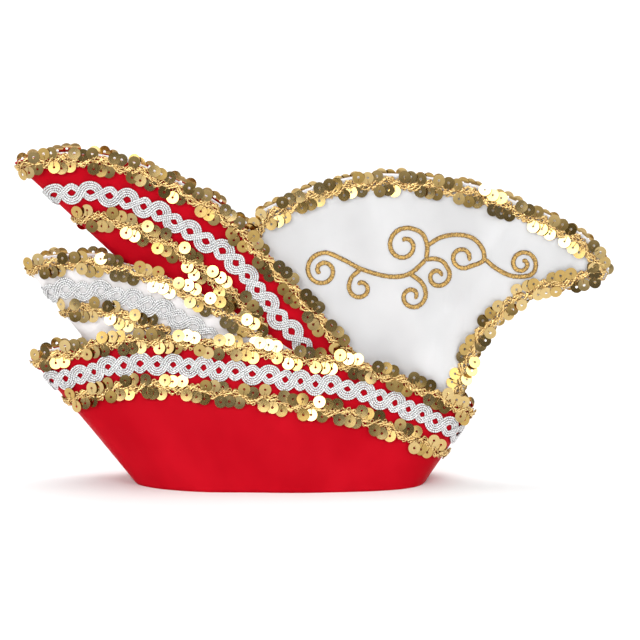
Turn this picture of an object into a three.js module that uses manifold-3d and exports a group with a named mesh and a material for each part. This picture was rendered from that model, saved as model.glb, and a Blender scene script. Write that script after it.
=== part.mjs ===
// Embroidered mini hat: a boat-shaped body, two folded wings, a tall crest and their trims.
// Millimetres, +Z up. X runs from the prow at -X to the stern at +X, and the near side faces -Y.
// The origin is the middle of the floor under the hat, which stands on the rim of its body.
import * as THREE from "three";
import Module from "manifold-3d";

const wasm = await Module();
wasm.setup();

// Driving sizes
const WALL = 1.8; // thickness of every cloth panel
const FIT = 0.3; // clear space between one piece and the next
const TRIM_FIT = 0.5; // clear space under a trim that runs round a fold
const MIDDLE_SHIFT = 1.7; // brings the middle of the finished length to the origin
const RIM_PROW_X = -75; // front end of the rim
const RIM_STERN_X = 47.5; // back end of the rim
const RIM_HALF = 25; // half the width of the rim
const RIM_ROUNDNESS = 2.8; // exponent of the rim's oval, where 2 is an ellipse
const RIDGE_HALF = 2.2; // half the thickness of the crest along its sewn edges
const CREST_SEAM = 4; // width of the crest that is sewn flat along its edges
const POCKET_OVERRUN = 3; // how far the hollow of the crest is cut past its open end
const THIN_POCKET = 0.35; // least half width of that hollow
const EDGE_OVERHANG = 1.2; // how far an edge braid stands past the edge of its panel
const BRAID_WIDE = 8.4;
const BRAID_THICK = 1.6;
const GIMP_WIDE = 8.6;
const GIMP_THICK = 1.2;
const SCROLL_WIDE = 1.9;
const SCROLL_THICK = 0.9;
const SCROLL_TIGHTENING = 0.9; // exponent by which a volute closes in

// Facets
const FACETS_PER_STATION = 2;
const FOLD_FACETS = 4; // the same in the two spaces next to a fold
const PANEL_SHARES = [0, 0.33, 0.67, 1]; // heights of the rows of facets on a panel
const CREST_FACETS_PER_STATION = 2;
const CREST_ROWS = 5;
const STEM_FACET = 3.5; // length of a facet on the stem of a scroll
const FACETS_PER_TURN = 10;

const table = (columns, lines) =>
  lines.map((line) => Object.fromEntries(columns.map((name, i) => [name, line[i]])));

// Top edge of the body from the prow to the stern, with the half depth of its outer face
const BODY_STATIONS = table(
  ["top_x", "top_z", "top_half"],
  [
    [-118.3, 51.4, 0],
    [-115.5, 53.2, 3],
    [-102, 56.2, 5.2],
    [-91.7, 60, 6.7],
    [-74.7, 62.6, 9],
    [-59.6, 62.6, 10.6],
    [-42.5, 61.1, 11.7],
    [-25.4, 59.4, 12.2],
    [-8, 56.4, 12.4],
    [14, 53, 11.9],
    [36, 45.9, 10.2],
    [54, 37.5, 7.4],
    [62.5, 32.5, 4.9],
    [66.5, 29.3, 0],
  ],
);

// Each wing from its prow fold to its hidden end: top edge, then the tucked lower edge
const WING_COLUMNS = ["top_x", "top_z", "top_half", "low_x", "low_z", "low_half"];
const MIDDLE_WING_STATIONS = table(WING_COLUMNS, [
  [-120, 90.6, 0, -88, 50, 0],
  [-117.5, 92.6, 2.6, -85.5, 50, 3.2],
  [-103.8, 94.6, 4.4, -78, 51, 5.4],
  [-93.3, 94.7, 5.4, -71, 51, 6.7],
  [-85.6, 93.8, 6.1, -65, 51, 7.6],
  [-68.1, 89.6, 7.2, -54, 50.5, 8.9],
  [-53.3, 83.3, 8.1, -43, 49.5, 9.7],
  [-35, 73.3, 8.9, -29, 47.5, 10.2],
  [-22.5, 65, 9.4, -19, 45.5, 10.4],
  [-10, 56.7, 9.8, -9, 43.5, 10.5],
  [1, 49.5, 10, 1, 41.5, 10.5],
]);
const TOP_WING_STATIONS = table(WING_COLUMNS, [
  [-123.3, 133.4, 0, -52, 66, 0],
  [-120.3, 134.6, 2.4, -50, 65, 3],
  [-106.3, 137.1, 3.4, -45.5, 63, 4.5],
  [-91.3, 136.8, 3.7, -40.5, 61, 5.3],
  [-74.2, 133.2, 4, -35, 58, 5.9],
  [-59.8, 126.9, 4.3, -29, 55, 6.4],
  [-42.3, 117.9, 4.7, -20, 51, 6.9],
  [-32.5, 110.2, 5, -14, 48.5, 7.1],
  [-24.2, 101.9, 5.4, -8, 46, 7.3],
  [-12.5, 89.2, 6, 1, 43, 7.6],
  [0.3, 74.9, 6.7, 9, 40.5, 7.8],
  [13.2, 59.7, 7.5, 18, 38, 8],
  [24.5, 45.7, 8, 27, 35.5, 8.2],
]);

// The crest from its front edge to the tip: a point of the ridge, then one of the lower edge.
// Seam is the width sewn shut along the lower edge, and below zero the pocket is open there.
// Swell is how far each side bulges out halfway between the two edges.
const CREST_STATIONS = table(
  ["ridge_x", "ridge_z", "low_x", "low_z", "low_half", "seam", "swell"],
  [
    [-28.5, 102.2, -27, 47, 4.2, -POCKET_OVERRUN, 0],
    [-23.5, 111.7, -22, 45.5, 4.4, -POCKET_OVERRUN, 0],
    [-12.5, 117.7, -12, 43, 4.7, -POCKET_OVERRUN, 0.1],
    [2.5, 124.1, 3, 39.5, 5.2, -POCKET_OVERRUN, 0.4],
    [25.4, 128.4, 24, 35, 5.8, -POCKET_OVERRUN, 0.8],
    [44.2, 127.5, 42, 29, 5.4, -POCKET_OVERRUN, 1],
    [59.6, 125.1, 52, 24.5, 4, -POCKET_OVERRUN, 1],
    [68.3, 123.3, 57.5, 23, RIDGE_HALF, CREST_SEAM, 1],
    [76, 120.2, 60.6, 33.4, RIDGE_HALF, CREST_SEAM, 1],
    [84.2, 116.7, 64.9, 45.4, RIDGE_HALF, CREST_SEAM, 1],
    [91, 114, 68.8, 56, RIDGE_HALF, CREST_SEAM, 1],
    [97, 111.4, 72.9, 62.4, RIDGE_HALF, CREST_SEAM, 1],
    [102.5, 108.5, 79.2, 69.1, RIDGE_HALF, CREST_SEAM, 1],
    [107.5, 105.6, 86, 75.3, RIDGE_HALF, CREST_SEAM, 0.9],
    [112.5, 102.2, 94.8, 79.3, RIDGE_HALF, CREST_SEAM, 0.8],
    [117.9, 97, 106.7, 82.1, RIDGE_HALF, CREST_SEAM, 0.5],
    [121.3, 90.7, 115.9, 84.2, RIDGE_HALF, CREST_SEAM, 0.2],
    [122, 87.7, 120.5, 84.9, RIDGE_HALF, CREST_SEAM, 0.1],
  ],
);

// Scrolls on the crest: a stem that runs into a volute, whose turns count anticlockwise
const SCROLLS = table(
  ["stem", "centre", "end_radius", "turns"],
  [
    [[[46.4, 93.8], [39.7, 88.4], [31.7, 87.1], [19.7, 89.8], [12.4, 93.5], [5, 96.6]], [3.7, 89.2], 1.7, 1.41],
    [[[19.4, 89.8], [15.8, 86.5], [14.8, 84.3]], [19.2, 81.9], 1.9, 0.93],
    [[[46.4, 93.8], [46.8, 99.4], [44.6, 104.6], [39.5, 106.9]], [37.3, 99.8], 2.4, 1.11],
    [
      [[46.8, 99.4], [52.3, 102.9], [59.2, 104.1], [65.7, 102.6], [69.6, 98.2], [69.9, 93.8], [64.3, 91]],
      [61.4, 94.7],
      2.6,
      -0.93,
    ],
    [[[70.4, 94.4], [75.8, 90], [82.2, 87], [89.1, 87.2], [91.2, 88.9]], [86.1, 92.1], 1.2, 1.34],
    [[[46.4, 93.8], [50, 94], [53.3, 92.8], [55, 90.7]], [51.2, 86.8], 1.3, -1.13],
    [[[39.5, 88.4], [44.1, 84.9], [45.6, 82.6]], [40.6, 79.1], 1.2, -1.22],
  ],
);

// Trims on the body and wings: how far the middle line runs below the top edge at the prow and at
// the other end
const EDGE_LINE = BRAID_WIDE / 2 - EDGE_OVERHANG;
const BRAID = [BRAID_WIDE, BRAID_THICK, "gold_braid"];
const GIMP = [GIMP_WIDE, GIMP_THICK, "silver_gimp"];
const TRIMS = table(
  ["name", "panel", "line", "end_line", "wide", "thick", "finish"],
  [
    ["braid_body_upper", "body", EDGE_LINE, EDGE_LINE, ...BRAID],
    ["gimp_body", "body", 11.8, 11.8, ...GIMP],
    ["braid_body_lower", "body", 20.6, 21.4, ...BRAID],
    ["braid_middle_upper", "wing_middle", EDGE_LINE, EDGE_LINE, ...BRAID],
    ["gimp_middle", "wing_middle", 13.8, 13.4, ...GIMP],
    ["braid_middle_lower", "wing_middle", 22.6, 22.4, ...BRAID],
    ["braid_top_upper", "wing_top", EDGE_LINE, EDGE_LINE, ...BRAID],
    ["gimp_top", "wing_top", 16.4, 14, ...GIMP],
    ["braid_top_lower", "wing_top", 27, 32, ...BRAID],
  ],
);

// The finish of each cloth or trim, with its main colour
const FINISHES = {
  red_satin: { color: 0xb4081c, roughness: 0.45, metalness: 0 },
  white_satin: { color: 0xe6e6e8, roughness: 0.5, metalness: 0 },
  gold_braid: { color: 0xc09a4a, roughness: 0.25, metalness: 0.9 },
  silver_gimp: { color: 0xd8dcdc, roughness: 0.4, metalness: 0.6 },
  gold_thread: { color: 0xc79a35, roughness: 0.45, metalness: 0.5 },
};

const lerp = THREE.MathUtils.lerp;
const clamp = THREE.MathUtils.clamp;

// A closed solid swept through rings that all have the same even number of points
function sweepRings(rings, closed) {
  const size = rings[0].length;
  const count = rings.length;
  const corners = rings.flat().flatMap((p) => [p.x, p.y, p.z]);
  const faces = [];
  const quad = (a, b, c, d) => faces.push(a, b, c, a, c, d);
  const spans = closed ? count : count - 1;
  for (let i = 0; i < spans; i += 1) {
    const here = i * size;
    const next = ((i + 1) % count) * size;
    for (let r = 0; r < size; r += 1) {
      const up = (r + 1) % size;
      quad(here + r, next + r, next + up, here + up);
    }
  }
  if (!closed) {
    const end = (count - 1) * size;
    for (let r = 0; r < size / 2 - 1; r += 1) {
      const across = size - 1 - r;
      quad(r, r + 1, across - 1, across);
      quad(end + across, end + across - 1, end + r + 1, end + r);
    }
  }
  const mesh = new wasm.Mesh({
    numProp: 3,
    vertProperties: new Float32Array(corners),
    triVerts: new Uint32Array(faces),
  });
  return new wasm.Manifold(mesh);
}

// A curve through stations of the near side and their mirror images, with station 0 at the prow
function stationCurve(near, closed) {
  const last = near.length - 1;
  const far = near.map((p) => new THREE.Vector3(p.x, -p.y, p.z));
  if (closed) {
    const loop = [...near, ...far.slice(1, last).reverse()];
    const curve = new THREE.CatmullRomCurve3(loop, true, "centripetal");
    return (k) => curve.getPoint((k / (2 * last) + 1) % 1);
  }
  const line = [...far.slice(1).reverse(), ...near];
  const curve = new THREE.CatmullRomCurve3(line, false, "centripetal");
  return (k) => curve.getPoint((clamp(k, -last, last) + last) / (2 * last));
}

// Half the width of the rim at a place along the hat
function rimHalf(x) {
  const middle = (RIM_PROW_X + RIM_STERN_X) / 2;
  const reach = (RIM_STERN_X - RIM_PROW_X) / 2;
  const along = Math.min(1, Math.abs(x - middle) / reach);
  return RIM_HALF * (1 - along ** RIM_ROUNDNESS) ** (1 / RIM_ROUNDNESS);
}

// The rim lies on the floor and its stations divide it as the top edge is divided
function bodySheet() {
  const first = BODY_STATIONS[0].top_x;
  const length = BODY_STATIONS[BODY_STATIONS.length - 1].top_x - first;
  const top = BODY_STATIONS.map((s) => new THREE.Vector3(s.top_x, -s.top_half, s.top_z));
  const low = BODY_STATIONS.map((s) => {
    const x = lerp(RIM_PROW_X, RIM_STERN_X, (s.top_x - first) / length);
    return new THREE.Vector3(x, -rimHalf(x), 0);
  });
  return {
    top: stationCurve(top, true),
    low: stationCurve(low, true),
    last: BODY_STATIONS.length - 1,
    closed: true,
  };
}

function wingSheet(stations) {
  const top = stations.map((s) => new THREE.Vector3(s.top_x, -s.top_half, s.top_z));
  const low = stations.map((s) => new THREE.Vector3(s.low_x, -s.low_half, s.low_z));
  return {
    top: stationCurve(top, false),
    low: stationCurve(low, false),
    last: stations.length - 1,
    closed: false,
  };
}

const SHEETS = {
  body: bodySheet(),
  wing_middle: wingSheet(MIDDLE_WING_STATIONS),
  wing_top: wingSheet(TOP_WING_STATIONS),
};

const rulingPoint = (sheet, k, v) => sheet.low(k).lerp(sheet.top(k), v);

// A point of the outer face at station k and height share v, moved level and outwards
function facePoint(sheet, k, v, out) {
  const step = 0.02;
  const along = rulingPoint(sheet, k + step, v).sub(rulingPoint(sheet, k - step, v));
  const outward = new THREE.Vector3(along.y, -along.x, 0).normalize();
  return rulingPoint(sheet, k, v).addScaledVector(outward, out);
}

// The height share that lies a given distance below the top edge, square to that edge.
// Round the folds the direction of the edge is taken from the flat side next to them.
function shareBelowEdge(sheet, k, distance) {
  const fold = 1.2;
  const step = 1;
  const flattest = sheet.closed ? sheet.last - fold : sheet.last - step;
  const steady = clamp(Math.abs(k), fold, flattest);
  const along = sheet.top(steady + step).sub(sheet.top(steady - step)).setY(0).normalize();
  const ruling = sheet.top(k).sub(sheet.low(k));
  const across = Math.abs(along.x * ruling.z - along.z * ruling.x);
  return 1 - distance / across;
}

// Stations of the facets on the near side, closer together next to a fold
function nearSteps(sheet) {
  const list = [];
  for (let station = 0; station < sheet.last; station += 1) {
    const atFold = station < 2 || (sheet.closed && station >= sheet.last - 2);
    const facets = atFold ? FOLD_FACETS : FACETS_PER_STATION;
    for (let i = 0; i < facets; i += 1) {
      list.push(station + i / facets);
    }
  }
  return [...list, sheet.last];
}

// The same on both sides, from the far end round the prow to the near end
function stationSteps(sheet) {
  const near = nearSteps(sheet);
  const far = near.slice(1).map((k) => -k).reverse();
  return [...(sheet.closed ? far.slice(1) : far), ...near];
}

// A cloth panel with its outer face on the sheet
function panelSolid(sheet) {
  const rings = stationSteps(sheet).map((k) => [
    ...PANEL_SHARES.map((v) => facePoint(sheet, k, v, 0)),
    ...PANEL_SHARES.toReversed().map((v) => facePoint(sheet, k, v, -WALL)),
  ]);
  return sweepRings(rings, sheet.closed);
}

// A flat trim that follows the top edge of a sheet
function bandSolid(sheet, { line, end_line: endLine, wide, thick }) {
  const rings = stationSteps(sheet).map((k) => {
    const middle = lerp(line, endLine, Math.abs(k) / sheet.last);
    const lower = shareBelowEdge(sheet, k, middle + wide / 2);
    const upper = shareBelowEdge(sheet, k, middle - wide / 2);
    return [
      facePoint(sheet, k, lower, TRIM_FIT + thick),
      facePoint(sheet, k, upper, TRIM_FIT + thick),
      facePoint(sheet, k, upper, TRIM_FIT),
      facePoint(sheet, k, lower, TRIM_FIT),
    ];
  });
  return sweepRings(rings, sheet.closed);
}

// Near points mirrored into rings of a solid that fills the space between the two sides
function mirroredRing(nearPoints) {
  const far = nearPoints.map((p) => new THREE.Vector3(p.x, -p.y, p.z));
  return [...nearPoints, ...far.reverse()];
}

// Everything inside a sheet and up to given distances outside and above it, as a tool that cuts
// back the trims of inner panels
function insideOf(sheet, out, above) {
  const thinnest = 0.05;
  const rings = nearSteps(sheet).map((k) => {
    const shares = [...PANEL_SHARES.slice(0, -1), shareBelowEdge(sheet, k, -above)];
    const near = shares.map((v) => facePoint(sheet, k, v, out));
    near.forEach((p) => p.setY(Math.min(p.y, -thinnest)));
    return mirroredRing(near);
  });
  return sweepRings(rings, false);
}

function largestBody(solid) {
  return solid.decompose().reduce((best, body) => (body.volume() > best.volume() ? body : best));
}

function cutBack(solid, covers) {
  return largestBody(covers.reduce((left, cover) => left.subtract(cover), solid));
}

const CREST_LAST = CREST_STATIONS.length - 1;

function crestCurve(xName, zName) {
  const points = CREST_STATIONS.map((s) => new THREE.Vector3(s[xName], 0, s[zName]));
  const curve = new THREE.CatmullRomCurve3(points, false, "centripetal");
  return (k) => curve.getPoint(clamp(k, 0, CREST_LAST) / CREST_LAST);
}

const crestRidge = crestCurve("ridge_x", "ridge_z");
const crestLow = crestCurve("low_x", "low_z");

function crestColumn(name, k) {
  const before = Math.min(Math.floor(k), CREST_LAST - 1);
  return lerp(CREST_STATIONS[before][name], CREST_STATIONS[before + 1][name], k - before);
}

const crestLength = (k) => crestRidge(k).distanceTo(crestLow(k));

// Half the thickness of the crest at station k, a share t of the way up from its lower edge
function crestHalf(k, t) {
  const level = clamp(t, 0, 1);
  const straight = lerp(crestColumn("low_half", k), RIDGE_HALF, level);
  return straight + crestColumn("swell", k) * 4 * level * (1 - level);
}

function crestPoint(k, t, half) {
  const p = crestLow(k).lerp(crestRidge(k), t);
  return p.setY(-half);
}

// The station and share of a point on the side of the crest
function crestPlace(x, z) {
  let left = 0;
  let right = CREST_LAST;
  for (let i = 0; i < 40; i += 1) {
    const k = (left + right) / 2;
    const low = crestLow(k);
    const up = crestRidge(k).sub(low);
    const beyond = up.x * (z - low.z) - up.z * (x - low.x) < 0;
    left = beyond ? k : left;
    right = beyond ? right : k;
  }
  const low = crestLow(left);
  const up = crestRidge(left).sub(low);
  const share = (up.x * (x - low.x) + up.z * (z - low.z)) / up.lengthSq();
  return { k: left, t: share };
}

function crestSolid() {
  const outer = [];
  const steps = CREST_LAST * CREST_FACETS_PER_STATION;
  for (let i = 0; i <= steps; i += 1) {
    const k = i / CREST_FACETS_PER_STATION;
    const near = [];
    for (let j = 0; j <= CREST_ROWS; j += 1) {
      const t = j / CREST_ROWS;
      near.push(crestPoint(k, t, crestHalf(k, t)));
    }
    outer.push(mirroredRing(near));
  }
  const pocket = [];
  const firstPocket = 0.5;
  const lastPocket = CREST_LAST - 2;
  for (let k = firstPocket; k <= lastPocket; k += 1 / CREST_FACETS_PER_STATION) {
    const length = crestLength(k);
    const start = crestColumn("seam", k) / length;
    const end = 1 - CREST_SEAM / length;
    const near = [];
    for (let j = 0; j <= CREST_ROWS; j += 1) {
      const t = lerp(start, end, j / CREST_ROWS);
      near.push(crestPoint(k, t, Math.max(crestHalf(k, t) - WALL, THIN_POCKET)));
    }
    pocket.push(mirroredRing(near));
  }
  return sweepRings(outer, false).subtract(sweepRings(pocket, false));
}

// The braided edge of the crest: along the ridge, round the tip and down to the stern
const CREST_STERN = CREST_STATIONS.findIndex((s) => s.seam > 0);
const CREST_EDGE_END = 2 * CREST_LAST - CREST_STERN;
const crestEdgeStation = (place) => (place <= CREST_LAST ? place : 2 * CREST_LAST - place);

function crestEdge(place) {
  const station = crestEdgeStation(clamp(place, 0, CREST_EDGE_END));
  return place <= CREST_LAST ? crestRidge(station) : crestLow(station);
}

// Half the thickness of the crest under a point of its side
function crestHalfAt(p) {
  const { k, t } = crestPlace(p.x, p.z);
  return crestHalf(k, t);
}

// How far a point of one edge of the crest is from the other edge
function crestWidth(p, otherEdge) {
  const samples = 4 * CREST_LAST;
  let least = Infinity;
  for (let i = 0; i <= samples; i += 1) {
    least = Math.min(least, otherEdge((i * CREST_LAST) / samples).distanceTo(p));
  }
  return least;
}

// The braid on the near side of the crest, square to that edge
function crestBraid() {
  const slit = 0.4;
  const step = 0.25;
  const rings = [];
  for (let i = 0; i <= CREST_EDGE_END * CREST_FACETS_PER_STATION; i += 1) {
    const place = i / CREST_FACETS_PER_STATION;
    const along = crestEdge(place + step).sub(crestEdge(place - step)).normalize();
    const inwards = new THREE.Vector3(along.z, 0, -along.x);
    const otherEdge = place <= CREST_LAST ? crestLow : crestRidge;
    const room = crestWidth(crestEdge(place), otherEdge) / 2 - slit;
    const depth = Math.min(BRAID_WIDE - EDGE_OVERHANG, room);
    const inner = crestEdge(place).addScaledVector(inwards, depth);
    const outer = crestEdge(place).addScaledVector(inwards, -EDGE_OVERHANG);
    const innerHalf = crestHalfAt(inner) + TRIM_FIT;
    const outerHalf = crestHalfAt(crestEdge(place)) + TRIM_FIT;
    rings.push([
      inner.clone().setY(-innerHalf - BRAID_THICK),
      outer.clone().setY(-outerHalf - BRAID_THICK),
      outer.clone().setY(-outerHalf),
      inner.clone().setY(-innerHalf),
    ]);
  }
  return sweepRings(rings, false);
}

// One scroll as flat points of its middle line
function scrollLine(scroll) {
  const stem = scroll.stem.map(([x, z]) => new THREE.Vector3(x, 0, z));
  const [centreX, centreZ] = scroll.centre;
  const start = stem[stem.length - 1];
  const startRadius = Math.hypot(start.x - centreX, start.z - centreZ);
  const startAngle = Math.atan2(start.z - centreZ, start.x - centreX);
  const turnSteps = Math.round(Math.abs(scroll.turns) * FACETS_PER_TURN);
  const volute = [];
  for (let i = 1; i <= turnSteps; i += 1) {
    const share = i / turnSteps;
    const angle = startAngle + scroll.turns * 2 * Math.PI * share;
    const radius = lerp(startRadius, scroll.end_radius, share ** SCROLL_TIGHTENING);
    const x = centreX + radius * Math.cos(angle);
    const z = centreZ + radius * Math.sin(angle);
    volute.push(new THREE.Vector3(x, 0, z));
  }
  const stemCurve = new THREE.CatmullRomCurve3([...stem, volute[0]], false, "centripetal");
  const stemSteps = Math.max(2, Math.round(stemCurve.getLength() / STEM_FACET));
  return [...stemCurve.getSpacedPoints(stemSteps), ...volute.slice(1)];
}

function scrollSolid() {
  const strokes = SCROLLS.map((scroll) => {
    const line = scrollLine(scroll);
    const rings = line.map((p, i) => {
      const ahead = line[Math.min(i + 1, line.length - 1)];
      const behind = line[Math.max(i - 1, 0)];
      const along = ahead.clone().sub(behind).normalize();
      const across = new THREE.Vector3(-along.z, 0, along.x).multiplyScalar(SCROLL_WIDE / 2);
      const { k, t } = crestPlace(p.x, p.z);
      const half = crestHalf(k, t) + FIT;
      const corner = (side, depth) => p.clone().addScaledVector(across, side).setY(-depth);
      return [
        corner(-1, half + SCROLL_THICK),
        corner(1, half + SCROLL_THICK),
        corner(1, half),
        corner(-1, half),
      ];
    });
    return sweepRings(rings, false);
  });
  return wasm.Manifold.union(strokes);
}

const group = new THREE.Group();

function addPiece(name, solid, finish) {
  const { vertProperties, triVerts } = solid.getMesh();
  const geometry = new THREE.BufferGeometry();
  geometry.setAttribute("position", new THREE.BufferAttribute(vertProperties, 3));
  geometry.setIndex(new THREE.BufferAttribute(triVerts, 1));
  geometry.translate(MIDDLE_SHIFT, 0, 0);
  const material = new THREE.MeshStandardMaterial(FINISHES[finish]);
  const mesh = new THREE.Mesh(geometry, material);
  mesh.name = name;
  group.add(mesh);
}

addPiece("body", panelSolid(SHEETS.body), "red_satin");
addPiece("wing_middle", panelSolid(SHEETS.wing_middle), "white_satin");
addPiece("wing_top", panelSolid(SHEETS.wing_top), "red_satin");
addPiece("crest", crestSolid(), "white_satin");

const insideBody = insideOf(SHEETS.body, FIT, FIT);
const insideMiddle = insideOf(SHEETS.wing_middle, FIT, FIT);
const insideTop = insideOf(SHEETS.wing_top, FIT, FIT);
const insideBodyBraid = insideOf(SHEETS.body, TRIM_FIT + BRAID_THICK + FIT, EDGE_OVERHANG + FIT);
const COVERS = {
  body: [],
  wing_middle: [insideBody],
  wing_top: [insideBody, insideMiddle],
};

for (const trim of TRIMS) {
  const band = bandSolid(SHEETS[trim.panel], trim);
  addPiece(trim.name, cutBack(band, COVERS[trim.panel]), trim.finish);
}

const ridgeBraid = cutBack(crestBraid(), [insideBodyBraid, insideMiddle, insideTop]);
addPiece("braid_crest_near", ridgeBraid, "gold_braid");
addPiece("braid_crest_far", ridgeBraid.mirror([0, 1, 0]), "gold_braid");

const scroll = scrollSolid();
addPiece("scroll_near", scroll, "gold_thread");
addPiece("scroll_far", scroll.mirror([0, 1, 0]), "gold_thread");

export default group;
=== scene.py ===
"""Embroidered mini hat: satin panels, sequin braid, silver gimp and stitched gold scrolls.

Shapes are worked out in millimetres on the same sheets as the part's solids, and become metres when
a mesh is made. X runs from the prow at -X to the stern at +X, and the near side faces -Y.
"""

import math

import bpy
import numpy as np
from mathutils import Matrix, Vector


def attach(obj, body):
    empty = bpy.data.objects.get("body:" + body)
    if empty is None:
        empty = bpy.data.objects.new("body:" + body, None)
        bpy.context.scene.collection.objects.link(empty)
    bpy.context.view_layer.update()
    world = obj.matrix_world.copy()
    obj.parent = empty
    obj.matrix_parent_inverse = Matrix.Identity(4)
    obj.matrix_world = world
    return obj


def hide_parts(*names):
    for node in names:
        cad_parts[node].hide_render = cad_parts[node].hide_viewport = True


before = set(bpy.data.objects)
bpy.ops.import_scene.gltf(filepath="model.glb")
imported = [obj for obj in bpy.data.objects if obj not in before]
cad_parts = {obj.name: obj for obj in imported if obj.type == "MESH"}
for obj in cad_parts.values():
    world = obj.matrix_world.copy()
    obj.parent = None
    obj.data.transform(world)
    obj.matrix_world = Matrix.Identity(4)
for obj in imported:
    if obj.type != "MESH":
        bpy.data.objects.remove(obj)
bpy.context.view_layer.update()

FULL_TURN = 2 * math.pi
METRES = 0.001  # metres in a millimetre
MIDDLE_SHIFT = 1.7  # brings the middle of the finished length to the origin
MIRROR = (1, -1, 1)  # factors that move a point to the other side of the hat
CREST_SIDES = (("near", -1), ("far", 1))  # with the sign of y on each side

# Panels
WALL = 1.8
RIM_PROW_X = -75
RIM_STERN_X = 47.5
RIM_HALF = 25
RIM_ROUNDNESS = 2.8
EDGE_RISE = 0.5  # how far a rounded cut edge stands past its panel
EDGE_BENDS = np.radians([25, 55, 80, 100, 125, 155])  # points of that round
HEM = 7  # satin turned in at the rim
BODY_RIPPLE = 0.3  # how far soft ripples move the cloth
WING_RIPPLE = 0.1
RIPPLE_ALONG = 1.9  # radians from one station to the next
RIPPLE_UP = 4  # radians from the lower to the top edge
RIPPLE_FADE = (0.25, 2 / 3)  # height shares between which they fade out
PANEL_STEPS = 12  # columns of the mesh from one station to the next
FLAT_STATIONS = 800

# Crest
RIDGE_HALF = 2.2  # half the thickness of the crest along its sewn edges
CREST_SEAM = 4  # width of the crest that is sewn flat along its edges
CREST_PARTING = 12  # distance from a sewn edge where both sides are single walls
SEAM_THICK = 9  # more than half the crest's thickness, so that sewn sides reach the slit
SLIT_HALF = 0.12  # half the slit between the two sides where they are sewn
CREST_BENDS = np.radians([30, 60, 90, 120, 150])
CREST_STEPS = 14
CREST_ROWS = 44

# Sequins
SEQUIN_RADIUS = 2.55
SEQUIN_HOLE = 0.55
SEQUIN_RING = 0.62  # a further ring of its face, as a share of the radius
SEQUIN_SIDES = 20
SEQUIN_THICK = 0.12
SEQUIN_DISH = 0.03  # how far the rim of a sequin stands above its middle
SEQUIN_STEP = 3.7  # from one sequin to the next in a group
SEQUIN_ROW = 2.9  # from the middle of the braid to either row of sequins
SEQUIN_LIFT = 1.3  # from the cloth to the middle of the lowest sequin of a group
SEQUIN_LAP = 0.2  # how far each sequin of a group lies above the next
SEQUIN_LEAN = 6  # degrees by which sequins lean along the braid
FOLD_TURN = 0.75  # least share of a sequin's outward direction that points to either side of the hat
FILM_SPREAD = 50  # range from which sequins take their places on the film
GROUP_PITCH = 16.3  # from one group to the next on the same side
CREST_GROUP_PITCH = 17

# Unevenness of the sequins
GROUP_SHIFT = 0.07  # the most for a group, as a share of the pitch
PLACE_ERROR = 0.4
ROW_ERROR = 0.35
LIFT_ERROR = 0.15  # the most for a sequin
LEAN_ERRORS = (7, 3)  # degrees, shared by a group and of each sequin
NOD_ERRORS = (5.5, 3)

# Chain
CHAIN_SWAY = 1.1  # how far the chain swings away from each group
CHAIN_LIFT = 0.95
CHAIN_DEPTH = 0.3  # how far its strands pass over and under each other
CHAIN_STEP = 0.43  # between rings of a strand
STRAND_TWIST = 2.6  # length in which the two plies of a strand turn once round each other
STRAND_PLY = 0.28  # how far the plies stand out from the round of the strand, as a share of its radius
THREAD_RADIUS = 0.11
THREAD_SIDES = 4
THREAD_POINTS = 6
THREAD_START = 0.12  # from a sequin out to the start of its thread
THREAD_HOLD = 0.45  # from the chain out to the end of the thread
THREAD_BOW = 0.35

# Silver gimp
GIMP_LIFT = 0.75
GIMP_WEAVE = 0.3  # how far the two bundles pass over and under each other
GIMP_STEPS = 72  # points of a cord in a full swing
GIMP_DRIFT = 0.5  # how far swings drift along the trim
GIMP_DRIFT_RATE = 0.29  # drifts to and fro in a full swing
CORD_RADIUS = 0.43
CORD_SIDES = 6
CORD_BEAD = 0.84  # length of one turn of the wrapping on a cord
CORD_SWELL = 0.12  # share of the radius by which the wrapping swells it

# Scrolls
SCROLL_WIDE = 1.9
SCROLL_THICK = 0.7
SCROLL_SINK = 0.05  # how deep the lower side lies in the cloth
SCROLL_BENDS = 8  # points across a line
SCROLL_TIP = 0.9  # length in which a line narrows to its end
SCROLL_BLUNT = 0.15  # part of that length which is cut off
SCROLL_TIGHTENING = 0.9
STEM_POINTS = 40  # for each knot
VOLUTE_POINTS = 160
VOLUTE_SKIP = 8  # points left out where a stem runs into its volute
STITCH = 0.5
STITCH_SLANT = 0.35
STITCH_RIDGE = 0.06  # share by which every stitch stands out
STITCH_ERROR = 0.06  # usual error of its size

# Lines that trims follow
TRACK_POINTS = 80  # from one station to the next, before they are spaced evenly
TRACK_STEP = 0.35
BRAID_MARGIN = 0.6  # how far trims end above the edge of an outer panel
GIMP_MARGIN = 0.2
CREST_BRAID_MARGIN = 1.2
SEQUIN_MARGIN = 1  # least height of a sequin's middle above such an edge
CREST_BRAID_LINE = 3  # from the edge of the crest to the middle of its braid
CREST_BRAID_LOOKS = (8, 0)  # angles of its sequins, as for the braids below

# Top edge of the body from the prow to the stern: x, z and the half depth of its outer face
BODY_STATIONS = np.array([
    (-118.3, 51.4, 0),
    (-115.5, 53.2, 3),
    (-102, 56.2, 5.2),
    (-91.7, 60, 6.7),
    (-74.7, 62.6, 9),
    (-59.6, 62.6, 10.6),
    (-42.5, 61.1, 11.7),
    (-25.4, 59.4, 12.2),
    (-8, 56.4, 12.4),
    (14, 53, 11.9),
    (36, 45.9, 10.2),
    (54, 37.5, 7.4),
    (62.5, 32.5, 4.9),
    (66.5, 29.3, 0),
])

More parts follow.
